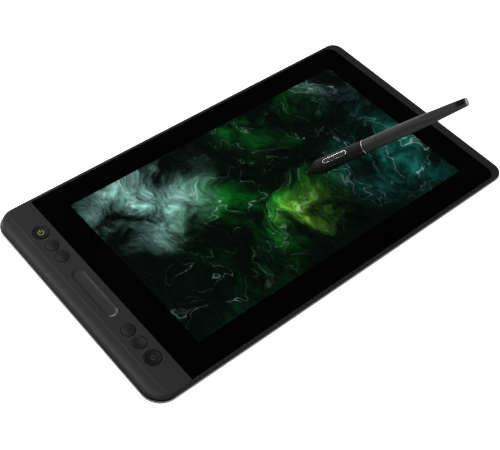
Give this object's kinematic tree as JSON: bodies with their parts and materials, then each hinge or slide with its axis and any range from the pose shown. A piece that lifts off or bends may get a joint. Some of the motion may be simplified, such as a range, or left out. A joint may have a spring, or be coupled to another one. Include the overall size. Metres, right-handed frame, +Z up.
{
  "type": "graphics tablet with screen",
  "caption": "Flat pen display with a strip of round keys and a touch bar beside a flush glass screen, and a cordless pen that stands on the glass.",
  "frame": {"origin": "middle of the tablet's outline, on the surface that its rubber feet stand on", "axes": "+X along the long side away from the key strip, +Y towards the far long side, +Z up out of the screen"},
  "size_m": [0.3856, 0.2148, 0.113],
  "materials": {
    "frame_plastic": "fine matte moulded plastic, dark grey",
    "screen_glass": "smooth glass, black print behind its border, picture lit from behind",
    "tape_black": "black foam tape",
    "panel_glass": "thin display glass",
    "clear_acrylic": "clear acrylic sheet",
    "reflector_white": "white film",
    "led_strip": "moulded LED packages",
    "sheet_steel": "plain sheet steel",
    "circuit_board": "green solder mask",
    "shield_aluminium": "thin aluminium sheet",
    "chip_black": "moulded black epoxy",
    "ribbon_amber": "amber film ribbon",
    "touch_bar_plastic": "fine matte moulded plastic",
    "trim_aluminium": "satin aluminium with a bright edge",
    "cover_plastic": "textured moulded plastic",
    "black_steel": "blackened steel",
    "foot_rubber": "soft black rubber",
    "key_plastic": "matte moulded plastic, slightly domed",
    "key_gloss": "smooth dark plastic",
    "sign_lit": "clear plastic lit from below",
    "sign_grey": "grey inlay",
    "nib_plastic": "hard nib plastic",
    "cone_plastic": "matte plastic",
    "grip_rubber": "soft-touch rubber skin",
    "ring_chrome": "bright ring",
    "barrel_plastic": "matte plastic",
    "tail_pad_rubber": "rubber inset",
    "end_cap_plastic": "light grey plastic",
    "rocker_plastic": "matte plastic",
    "coil_copper": "enamelled copper winding",
    "carrier_plastic": "moulded carrier"
  },
  "bodies": {
    "tablet": {"front_frame": "frame_plastic", "cover_glass": "screen_glass", "glass_tape": "tape_black", "lcd_cell": "panel_glass", "light_guide": "clear_acrylic", "reflector_sheet": "reflector_white", "led_bar": "led_strip", "panel_tray": "sheet_steel", "digitizer_board": "circuit_board", "shield_plate": "shield_aluminium", "main_board": "circuit_board", "main_board_chips": "chip_black", "display_ribbon": "ribbon_amber", "digitizer_ribbon": "ribbon_amber", "key_ribbon": "ribbon_amber", "key_board": "circuit_board", "key_switches": "sheet_steel", "power_led": "led_strip", "touch_bar_pad": "touch_bar_plastic", "touch_bar_sensor": "circuit_board", "trim_band": "trim_aluminium", "back_cover": "cover_plastic", "cover_screws": "black_steel", "board_screws": "sheet_steel", "key_board_screws": "sheet_steel", "front_foot": "foot_rubber", "rear_foot": "foot_rubber", "usb_c_socket_1": "sheet_steel", "usb_c_socket_2": "sheet_steel"},
    "power_key": {"power_key": "key_gloss", "power_sign": "sign_lit"},
    "express_key_1": {"express_key_1": "key_plastic"},
    "express_key_2": {"express_key_2": "key_plastic"},
    "express_key_3": {"express_key_3": "key_plastic"},
    "express_key_4": {"express_key_4": "key_plastic"},
    "mode_key": {"mode_key": "key_gloss", "mode_sign": "sign_grey"},
    "pen": {"pen_cone": "cone_plastic", "pen_grip": "grip_rubber", "pen_ring": "ring_chrome", "pen_barrel": "barrel_plastic", "pen_tail_pad": "tail_pad_rubber", "pen_end_cap": "end_cap_plastic", "pen_rocker_trim": "ring_chrome", "pen_rocker_pin": "sheet_steel", "pen_ferrite": "chip_black", "pen_coil": "coil_copper", "pen_force_sensor": "sheet_steel", "pen_board": "circuit_board", "pen_switches": "sheet_steel", "pen_carrier": "carrier_plastic"},
    "pen_nib": {"pen_nib": "nib_plastic"},
    "pen_rocker": {"pen_rocker": "rocker_plastic"}
  },
  "joints": [
    {"name": "power_key_press", "type": "slide", "parent": "tablet", "child": "power_key", "axis": [0, 0, -1], "range_m": [0, 0.00045], "stiffness_N_per_m": 800, "springref_m": -0.0004},
    {"name": "express_key_1_press", "type": "slide", "parent": "tablet", "child": "express_key_1", "axis": [0, 0, -1], "range_m": [0, 0.00045], "stiffness_N_per_m": 800, "springref_m": -0.0004},
    {"name": "express_key_2_press", "type": "slide", "parent": "tablet", "child": "express_key_2", "axis": [0, 0, -1], "range_m": [0, 0.00045], "stiffness_N_per_m": 800, "springref_m": -0.0004},
    {"name": "express_key_3_press", "type": "slide", "parent": "tablet", "child": "express_key_3", "axis": [0, 0, -1], "range_m": [0, 0.00045], "stiffness_N_per_m": 800, "springref_m": -0.0004},
    {"name": "express_key_4_press", "type": "slide", "parent": "tablet", "child": "express_key_4", "axis": [0, 0, -1], "range_m": [0, 0.00045], "stiffness_N_per_m": 800, "springref_m": -0.0004},
    {"name": "mode_key_press", "type": "slide", "parent": "tablet", "child": "mode_key", "axis": [0, 0, -1], "range_m": [0, 0.00045], "stiffness_N_per_m": 800, "springref_m": -0.0004},
    {"name": "pen_lift", "type": "slide", "parent": "tablet", "child": "pen", "axis": [0.5518, -0.5199, 0.6521], "range_m": [0, 0.12]},
    {"name": "nib_press", "type": "slide", "parent": "pen", "child": "pen_nib", "axis": [0.5518, -0.5199, 0.6521], "range_m": [0, 0.0005], "stiffness_N_per_m": 800, "springref_m": -0.0004},
    {"name": "rocker_tilt", "type": "hinge", "parent": "pen", "child": "pen_rocker", "pos_m": [0.06175, -0.02099, 0.03689], "axis": [-0.4397, -0.8457, -0.3023], "range_deg": [-3, 3], "stiffness_Nm_per_rad": 0.05}
  ]
}
